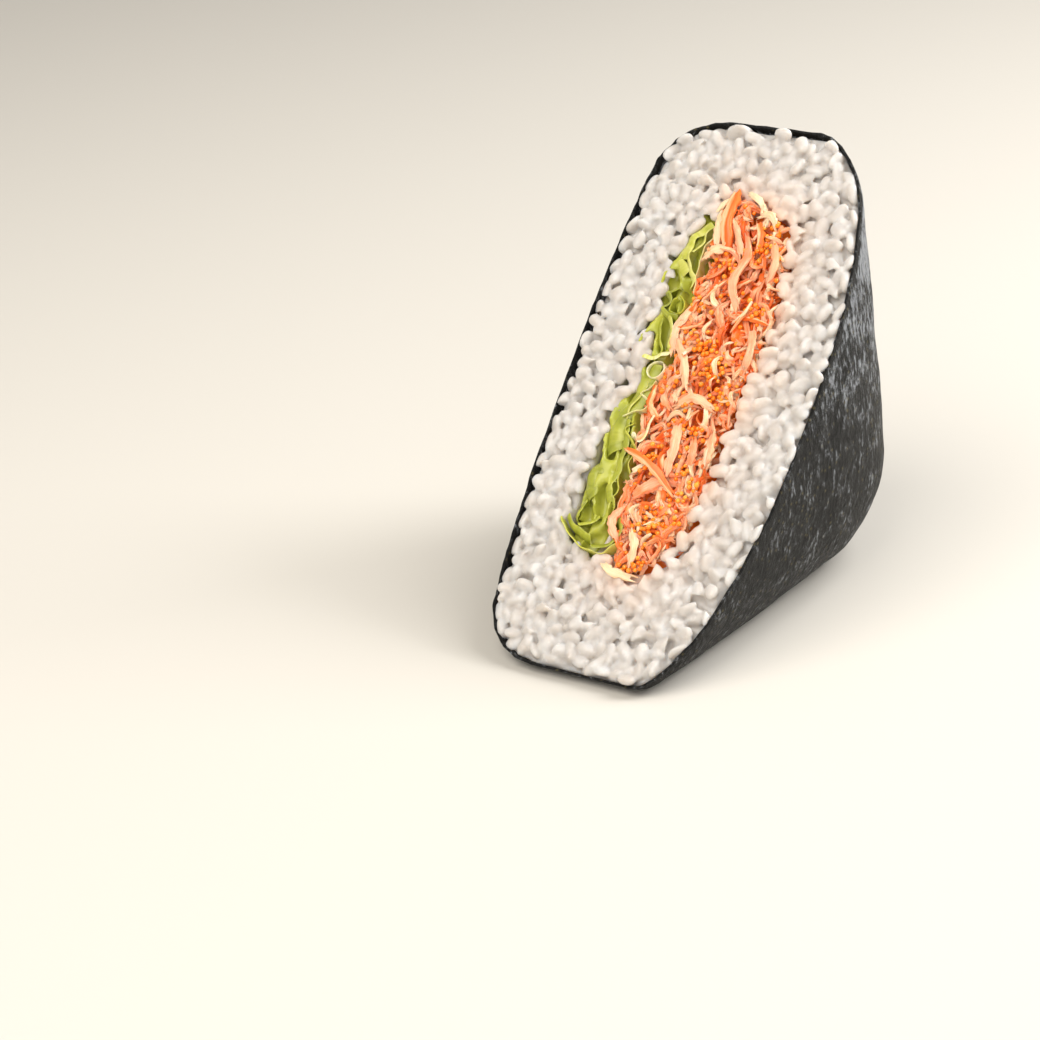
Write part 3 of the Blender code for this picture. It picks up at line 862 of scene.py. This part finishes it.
def kaniMaterial(name, stops):
    material, tree, shader = newMaterial(
        name, IOR=1.42, Roughness=0.24, Coat_Weight=0.2, Coat_Roughness=0.1,
        Subsurface_Weight=0.5, Subsurface_Scale=0.0009, Subsurface_Radius=(1.0, 0.62, 0.42),
    )
    place = addNode(tree, "ShaderNodeTexCoord").outputs["Object"]
    strip = addNode(tree, "ShaderNodeUVMap").outputs["UV"]
    # fibres run along each strip, about 0.2 mm apart
    along = addNode(tree, "ShaderNodeMapping", {"Scale": (3, 16, 1)}, {"Vector": strip})
    fibre = addNode(tree, "ShaderNodeTexNoise", {"Scale": 1.0, "Detail": 3.0}, {"Vector": along.outputs[0]})
    wash = addNode(tree, "ShaderNodeTexNoise", {"Scale": 330.0, "Detail": 2.0}, {"Vector": place})
    tone = addNode(tree, "ShaderNodeAttribute", {"attribute_name": "tone"})
    spread = addNode(tree, "ShaderNodeMath",
                     {"operation": "MULTIPLY_ADD", 1: 0.5, 2: -0.25}, {0: wash.outputs["Fac"]})
    washed = addNode(tree, "ShaderNodeMath", {"operation": "ADD"},
                     {0: tone.outputs["Fac"], 1: spread.outputs[0]})
    stripe = addNode(tree, "ShaderNodeMath",
                     {"operation": "MULTIPLY_ADD", 1: 0.7, 2: -0.35}, {0: fibre.outputs["Fac"]})
    striped = addNode(tree, "ShaderNodeMath", {"operation": "ADD"},
                      {0: washed.outputs[0], 1: stripe.outputs[0]})
    base = rampStops(addNode(tree, "ShaderNodeValToRGB", None, {"Fac": striped.outputs[0]}), stops)
    tree.links.new(base, shader.inputs["Base Color"])
    bump = addNode(tree, "ShaderNodeBump", {"Strength": 0.5, "Distance": 0.0002},
                   {"Height": fibre.outputs["Fac"]})
    tree.links.new(bump.outputs[0], shader.inputs["Normal"])
    return material


def coatedMaterial():
    # the outer skin of the stick, red orange at the edges, pale where it is torn open
    material, tree, shader = newMaterial(
        "coatedCrabStick", IOR=1.42, Roughness=0.26,
        Subsurface_Weight=0.25, Subsurface_Scale=0.0007, Subsurface_Radius=(1.0, 0.6, 0.4),
    )
    strip = addNode(tree, "ShaderNodeUVMap").outputs["UV"]
    across = addNode(tree, "ShaderNodeSeparateXYZ", None, {"Vector": strip}).outputs["Y"]
    wave = addNode(tree, "ShaderNodeTexNoise", {"Scale": 3.0, "Detail": 2.0}, {"Vector": strip})
    shifted = addNode(tree, "ShaderNodeMath",
                      {"operation": "MULTIPLY_ADD", 1: 0.7, 2: -0.35}, {0: wave.outputs["Fac"]})
    total = addNode(tree, "ShaderNodeMath", {"operation": "ADD"}, {0: across, 1: shifted.outputs[0]})
    base = rampStops(addNode(tree, "ShaderNodeValToRGB", None, {"Fac": total.outputs[0]}), [
        (0.1, "#FBAE78"), (0.3, "#FFCFA2"), (0.45, "#FB9A5C"), (0.6, "#F06A2A"), (0.9, "#F57C38"),
    ])
    tree.links.new(base, shader.inputs["Base Color"])
    return material


def layStrips(draws, models, layer):
    places = []
    tries = 0
    while len(places) < layer["count"] and tries < kaniSettings["tries"]:
        tries += 1
        x, y = (draws.uniform(*span) for span in kaniSettings["area"])
        if draws.random() < kaniSettings["alongShare"]:
            heading = draws.gauss(90, kaniSettings["alongSpread"])
        else:
            heading = draws.uniform(0, 180)
        turn = Euler((
            math.radians(draws.gauss(0, layer["roll"])), math.radians(draws.gauss(0, layer["tilt"])),
            math.radians(heading),
        )).to_matrix().to_4x4()
        size = draws.uniform(*layer["long"])
        lift = draws.uniform(*layer["lift"])
        model = draws.choice(models)
        tone = draws.uniform(*layer["tone"])
        ends = [turn @ Vector((way * kaniSettings["halfLength"] * size, 0, 0)) for way in (-1, 1)]
        if min(edgeDistance(kaniOutline, x + end.x, y + end.y) for end in ends) < -kaniSettings["over"]:
            continue
        if edgeDistance(kaniOutline, x, y) > layer.get("band", 99):
            continue
        place = Matrix.Translation((x, y, lift)) @ turn @ Matrix.Diagonal((size, size ** 0.3, size ** 0.3, 1))
        places.append((model, place, {"tone": tone}))
    return places


def placeStrips(draws, strips, stations, roll, twist):
    # models for the strips that stand out, made in their places
    across = kaniSettings["across"]
    models = []
    for path, width, thick, *_ in strips:
        shape = stripShape(width, thick, draws.uniform(*roll), draws.uniform(*twist), draws, stations, across)
        models.append(bentSlab("placedStrip", path, stations, across, shape))
    return models


def makeKani():
    draws = random.Random(kaniSettings["seed"])
    stops = [(0.0, "#FFDDB4"), (0.24, "#FFC49A"), (0.44, "#FFA57C"), (0.64, "#FA8444"), (0.92, "#F4661F")]
    # the core under the strips: the orange of the dressing, partly real and partly painted shade, deeper orange
    # red than most strips where it lies deep between them
    coreMaterial = kaniMaterial("dressedCrabStickAndPaintedShade", [(0.2, "#FF9A38"), (0.55, "#FA7424"), (0.85, "#E85014")])
    core = makeCore("kani_salad", "kaniCore", coreMaterial, kaniSettings["coreSink"])
    setPointValue(core.data, "tone", [0.5] * len(core.data.vertices))
    settle(core, "kani", "kani_salad")
    stations, across = kaniSettings["stations"], kaniSettings["across"]
    models = []
    for number in range(kaniSettings["models"]):
        half = draws.uniform(*kaniSettings["length"]) / 2
        sway, arch = draws.uniform(-1.1, 1.1), draws.uniform(-0.6, 0.9)
        path = [
            (-half, -sway, -arch), (-half * 0.35, sway * 0.5, arch * 0.5),
            (half * 0.35, sway, arch), (half, -sway, -arch),
        ]
        width, thick = draws.uniform(*kaniSettings["width"]), draws.uniform(*kaniSettings["thick"])
        shape = stripShape(width, thick, 0, draws.uniform(-60, 60), draws, stations, across)
        models.append(bentSlab("strip", path, stations, across, shape))
    places = []
    for layer in kaniSettings["layers"] + [kaniSettings["edgeLayer"]]:
        places += layStrips(draws, models, layer)
    strips = kaniSettings["placed"]
    placed = placeStrips(draws, strips, kaniSettings["placedStations"], (-20, 20), (-40, 40))
    places += [(model, Matrix.Identity(4), {"tone": strip[-1]}) for model, strip in zip(placed, strips)]
    shreds = joinCopies("kaniShreds", places, kaniMaterial("tornCrabStick", stops))
    settle(shreds, "kani")
    places = layStrips(draws, models, kaniSettings["coatedLayer"])
    skinned = placeStrips(
        draws, kaniSettings["placedCoated"], kaniSettings["coatedStations"], (-10, 25), (-20, 20)
    )
    places += [(model, Matrix.Identity(4), {"tone": 0.9}) for model in skinned]
    coated = joinCopies("coatedShreds", places, coatedMaterial())
    settle(coated, "kani")
    removeModels(models + placed + skinned)


makeKani()


# Roe: small clear orange eggs, wet and shiny, most of them in clusters

roeSettings = {
    "seed": 9,
    "radius": (0.38, 0.58),
    "clusters": [
        (9.3, 32.3, 34, 1.5), (2.2, 28.1, 20, 1.2), (12.4, 19.3, 22, 1.2), (-0.8, 18.6, 16, 0.9),
        (7.4, 6.5, 46, 1.7), (0.8, 12.0, 20, 1.1), (4.6, 10.4, 18, 1.1), (11.0, 37.2, 10, 0.8),
        (-0.4, 3.4, 18, 1.1), (10.8, 1.0, 22, 1.3), (7.8, -6.9, 22, 1.2), (2.2, -14.2, 22, 1.3),
        (8.0, -14.2, 20, 1.1), (5.8, -26.4, 40, 1.7), (9.8, -25.6, 24, 1.2), (-0.7, -30.2, 14, 0.7),
        (10.9, -20.9, 12, 0.8), (6.4, -35.2, 14, 0.9), (3.0, -36.2, 9, 0.7), (4.4, -5.8, 16, 1.0),
        (12.6, -18.0, 8, 0.6), (4.4, -1.6, 12, 1.0),
    ],
    "fill": 1.8,             # tries for each egg of a cluster
    "loose": 90,             # tries all over the salad
    "looseArea": ((-4, 15), (-37, 41)),
    "lift": (-0.5, 0.7),
    "inset": 0.3,
    "touch": 0.86,
    "flat": 0.92,
}


def roeMaterial():
    material, tree, shader = newMaterial(
        "capelinRoe", IOR=1.36, Roughness=0.16, Coat_Weight=0.3, Coat_Roughness=0.06,
        Subsurface_Weight=0.5, Subsurface_Scale=0.0007, Subsurface_Radius=(1.0, 0.55, 0.2),
    )
    tone = addNode(tree, "ShaderNodeAttribute", {"attribute_name": "tone"})
    base = rampStops(addNode(tree, "ShaderNodeValToRGB", None, {"Fac": tone.outputs["Fac"]}),
                     [(0.0, "#FF8018"), (0.5, "#FF9428"), (1.0, "#FFAA42")])
    tree.links.new(base, shader.inputs["Base Color"])
    return material


def makeRoe():
    draws = random.Random(roeSettings["seed"])
    deselectAll()
    bpy.ops.mesh.primitive_uv_sphere_add(segments=10, ring_count=7, radius=1)
    egg = bpy.context.object
    eggs = []

    def drop(x, y):
        radius = draws.uniform(*roeSettings["radius"])
        place = Vector((x, y, draws.uniform(*roeSettings["lift"])))
        crowded = any((place - other).length < roeSettings["touch"] * (radius + size) for other, size in eggs)
        if edgeDistance(kaniOutline, x, y) >= roeSettings["inset"] and not crowded:
            eggs.append((place, radius))

    for x, y, count, spread in roeSettings["clusters"]:
        for _ in range(round(count * roeSettings["fill"])):
            drop(draws.gauss(x, spread), draws.gauss(y, spread))
    for _ in range(roeSettings["loose"]):
        drop(*[draws.uniform(*span) for span in roeSettings["looseArea"]])
    places = []
    for place, radius in eggs:
        size = Matrix.Diagonal((radius, radius, radius * roeSettings["flat"], 1))
        places.append((egg, Matrix.Translation(place) @ size, {"tone": draws.random()}))
    roe = joinCopies("roe", places, roeMaterial())
    removeModels([egg])
    settle(roe, "kani")


makeRoe()


# Lettuce: thin wavy leaves on edge, yellow green with pale ribs, wet

leafSettings = {
    "seed": 3,
    "coreSink": 1.3,
    "coreTone": 0.3,
    "depth": 4.0,
    "thick": 0.5,
    "station": 0.7,          # length of a face along a leaf
    "across": 9,
    "curlMore": 1.2,         # all the curls and their radii times this
    # path of each leaf on the cut, its height at the rim, how far its rim curls over (degrees) at what
    # radius, how strongly it is ruffled, and its tone from green through yellow green to cream
    "leaves": [
        ([(-5.2, 37.2), (-7.2, 34.8), (-8.4, 32.5), (-9.4, 29.5), (-9.6, 27.0), (-8.2, 25.2), (-6.9, 23.6)],
         0.7, 80, 2.2, 0.5, 0.45),
        ([(-3.0, 36.4), (-4.6, 33.6), (-5.4, 31.2), (-6.8, 29.6), (-5.9, 26.5), (-4.7, 23.9), (-3.6, 21.6)],
         1.1, 55, 1.6, 0.5, 0.58),
        ([(-2.2, 34.6), (-3.1, 31.4), (-4.0, 28.8), (-3.7, 26.0), (-2.8, 23.6), (-2.6, 20.6)],
         0.9, 30, 1.5, 0.4, 0.75),
        ([(-4.6, 21.4), (-6.9, 21.3), (-9.0, 20.2), (-7.4, 18.6), (-8.4, 16.9), (-6.6, 15.2), (-4.1, 14.6)],
         0.8, 60, 1.3, 0.3, 0.12),
        ([(-5.1, 19.8), (-3.6, 19.0), (-3.4, 16.4), (-6.2, 16.2), (-6.0, 18.4), (-5.2, 19.2)],
         1.2, 25, 1.0, 0.15, 0.3),
        ([(-8.2, 14.8), (-7.8, 12.4), (-6.6, 10.8), (-5.6, 8.6), (-6.4, 6.0)],
         0.5, 50, 1.6, 0.4, 0.25),
        ([(-6.4, 15.0), (-5.0, 12.8), (-4.4, 10.4), (-3.4, 8.6)],
         0.9, 60, 1.2, 0.3, 0.5),
        ([(-8.4, 6.8), (-6.4, 7.0), (-4.8, 8.2), (-2.8, 8.6)],
         0.9, 70, 1.2, 0.3, 0.72),
        ([(-3.0, 5.6), (-5.0, 5.4), (-6.0, 3.8), (-5.0, 2.2), (-3.2, 2.4), (-2.6, 4.0), (-3.0, 5.4)],
         1.3, 10, 1.0, 0.1, 0.95),
        ([(-7.8, 5.4), (-8.0, 2.2), (-8.2, -0.8), (-9.4, -4.0), (-10.6, -8.9), (-10.2, -12.6), (-8.9, -15.0)],
         0.4, 95, 2.6, 0.35, 0.18),
        ([(-6.0, 1.6), (-6.4, -1.0), (-7.2, -3.6), (-7.8, -6.8)],
         0.7, 60, 1.4, 0.3, 0.5),
        ([(-3.4, 1.8), (-4.2, -0.4), (-5.8, -1.6), (-3.6, -2.8), (-3.9, -4.6), (-5.6, -5.2), (-7.8, -6.6)],
         1.1, 35, 1.0, 0.25, 0.82),
        ([(-7.2, -6.6), (-7.8, -9.7), (-6.2, -13.5), (-5.9, -17.2), (-6.8, -19.6), (-6.0, -22.1),
          (-4.8, -24.4)], 0.5, 75, 1.9, 0.45, 0.2),
        ([(-5.0, -7.4), (-6.3, -8.9), (-4.4, -11.4), (-2.8, -13.1), (-3.0, -15.6), (-2.0, -17.8)],
         0.9, 45, 1.3, 0.3, 0.4),
        ([(-1.6, -5.2), (-2.0, -8.0), (-2.3, -10.6), (-4.4, -10.6)],
         1.2, 60, 1.4, 0.1, 0.88),
        ([(-9.0, -15.4), (-11.3, -17.2), (-11.2, -20.4), (-11.0, -23.1), (-9.1, -25.0)],
         0.4, 85, 2.3, 0.4, 0.15),
        ([(-4.4, -18.2), (-3.6, -20.6), (-4.2, -23.0), (-2.8, -25.6)],
         0.7, 50, 1.4, 0.4, 0.3),
        ([(-9.0, -24.2), (-10.6, -26.6), (-10.0, -29.0), (-7.2, -28.6), (-5.6, -26.6)],
         0.5, 60, 1.5, 0.3, 0.22),
        ([(-12.4, -28.6), (-9.4, -31.0), (-5.4, -32.6), (-1.6, -31.8), (-0.6, -28.8), (-2.3, -25.7)],
         0.4, 60, 1.6, 0.25, 0.2),
        ([(-12.8, -28.6), (-10.6, -31.6), (-6.2, -33.8), (-1.9, -34.3), (0.9, -32.0)],
         1.0, 12, 1.0, 0.2, 0.5),
    ],
}


def leafShape(top, curl, radius, ruffle, draws, length):
    phase = draws.uniform(0, 6)
    depth, thick = leafSettings["depth"], leafSettings["thick"]
    radius *= leafSettings["curlMore"]
    curl = math.radians(curl * leafSettings["curlMore"])
    total = depth + radius * curl

    def shape(u, v, w, centre, ahead, side, up):
        # side points left of the way the path runs, and every leaf curls over towards +X
        over = side if side.x > 0 else -side
        run = (v + 1) / 2 * total
        rim = (v + 1) / 2
        if run < depth:
            out, height, lean = 0.0, run - depth, 0.0
        else:
            lean = (run - depth) / radius
            out, height = radius * (1 - math.cos(lean)), radius * math.sin(lean)
        height += top - radius * math.sin(min(curl, math.pi / 2))
        along = u * length
        # ruffles about 8 mm long, with shorter ones on them
        wave = ruffle * rim * (math.sin(along / 1.3 + phase) + 0.5 * math.sin(along / 0.55 + 2 * phase))
        crest = 0.45 * rim * noise.noise(Vector((along / 1.8, phase, 0)))
        normal = Vector((over.x * math.cos(lean), over.y * math.cos(lean), -math.sin(lean)))
        taper = 1 - 0.5 * rim
        return centre + over * (out + wave) + Vector((0, 0, height + crest)) + normal * w * thick / 2 * taper

    return shape


def leafMaterial():
    material, tree, shader = newMaterial(
        "lettuceLeaf", IOR=1.4, Roughness=0.3, Coat_Weight=0.15,
        Subsurface_Weight=0.35, Subsurface_Scale=0.0015, Subsurface_Radius=(1.0, 1.0, 0.4),
    )
    place = addNode(tree, "ShaderNodeTexCoord").outputs["Object"]
    patch = addNode(tree, "ShaderNodeTexNoise", {"Scale": 260.0, "Detail": 3.0}, {"Vector": place})
    # ribs run from the root to the rim, about 1.5 mm apart
    leafMap = addNode(tree, "ShaderNodeUVMap").outputs["UV"]
    along = addNode(tree, "ShaderNodeMapping", {"Scale": (9, 1.2, 1)}, {"Vector": leafMap})
    rib = addNode(tree, "ShaderNodeTexNoise", {"Scale": 1.4, "Detail": 2.0}, {"Vector": along.outputs[0]})
    tone = addNode(tree, "ShaderNodeAttribute", {"attribute_name": "tone"})
    shifted = addNode(tree, "ShaderNodeMath",
                      {"operation": "MULTIPLY_ADD", 1: 0.5, 2: -0.25}, {0: patch.outputs["Fac"]})
    ribShare = addNode(tree, "ShaderNodeMath",
                       {"operation": "MULTIPLY_ADD", 1: 0.5, 2: -0.22}, {0: rib.outputs["Fac"]})
    patched = addNode(tree, "ShaderNodeMath", {"operation": "ADD"},
                      {0: tone.outputs["Fac"], 1: shifted.outputs[0]})
    ribbed = addNode(tree, "ShaderNodeMath", {"operation": "ADD"},
                     {0: patched.outputs[0], 1: ribShare.outputs[0]})
    base = rampStops(addNode(tree, "ShaderNodeValToRGB", None, {"Fac": ribbed.outputs[0]}), [
        (0.0, "#8C9230"), (0.25, "#A6AA3E"), (0.45, "#C2C24E"), (0.7, "#DBD67C"), (0.98, "#F3EABC"),
    ])
    tree.links.new(base, shader.inputs["Base Color"])
    bump = addNode(tree, "ShaderNodeBump", {"Strength": 0.5, "Distance": 0.0004},
                   {"Height": rib.outputs["Fac"]})
    tree.links.new(bump.outputs[0], shader.inputs["Normal"])
    return material


def makeLettuce():
    draws = random.Random(leafSettings["seed"])
    material = leafMaterial()
    core = makeCore("lettuce", "lettuceCore", material, leafSettings["coreSink"])
    setPointValue(core.data, "tone", [leafSettings["coreTone"]] * len(core.data.vertices))
    settle(core, "lettuce", "lettuce")
    models, places = [], []
    for path, top, curl, radius, ruffle, tone in leafSettings["leaves"]:
        path = [(x, y, 0) for x, y in path]
        length = sum((Vector(end) - Vector(start)).length for start, end in zip(path, path[1:]))
        shape = leafShape(top, curl, radius, ruffle, draws, length)
        stations = max(8, round(length / leafSettings["station"]))
        model = bentSlab("leaf", path, stations, leafSettings["across"], shape)
        applyModifier(model, "soften", "SUBSURF", levels=1, render_levels=1)
        models.append(model)
        places.append((model, Matrix.Identity(4), {"tone": tone}))
    leaves = joinCopies("lettuceLeaves", places, material)
    removeModels(models)
    settle(leaves, "lettuce")


makeLettuce()
